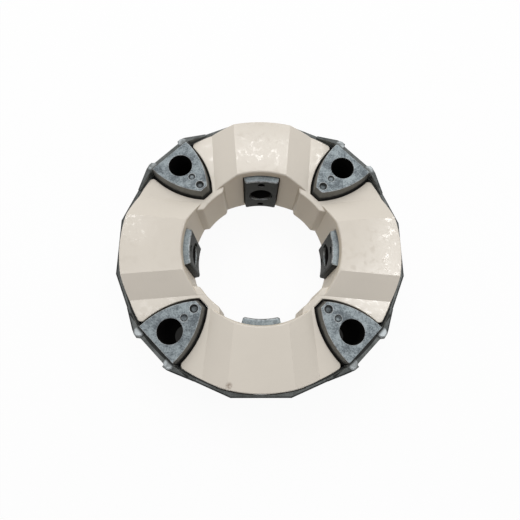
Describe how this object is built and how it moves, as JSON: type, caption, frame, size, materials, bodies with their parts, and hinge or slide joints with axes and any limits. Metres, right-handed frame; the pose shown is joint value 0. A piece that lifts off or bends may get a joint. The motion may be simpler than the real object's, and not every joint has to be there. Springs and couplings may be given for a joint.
{
  "type": "flexible coupling",
  "caption": "Round flexible pump coupling: a moulded plastic ring with metal inserts for axial and radial bolts, held in a cast outer ring.",
  "frame": {"origin": "on the coupling's axis, at the level of the lower faces of the axial inserts", "axes": "+Z along the axis; +X and +Y along two of the radial bolts"},
  "size_m": [0.1984, 0.1984, 0.058],
  "materials": {
    "moulding": "glossy moulded, cream",
    "insert": "die cast, mottled",
    "cast_ring": "as cast"
  },
  "bodies": {
    "root": {"moulded_ring": "moulding", "cast_ring": "cast_ring", "axial_insert_1": "insert", "axial_insert_2": "insert", "axial_insert_3": "insert", "axial_insert_4": "insert", "radial_insert_1": "insert", "radial_insert_2": "insert", "radial_insert_3": "insert", "radial_insert_4": "insert"}
  },
  "joints": []
}
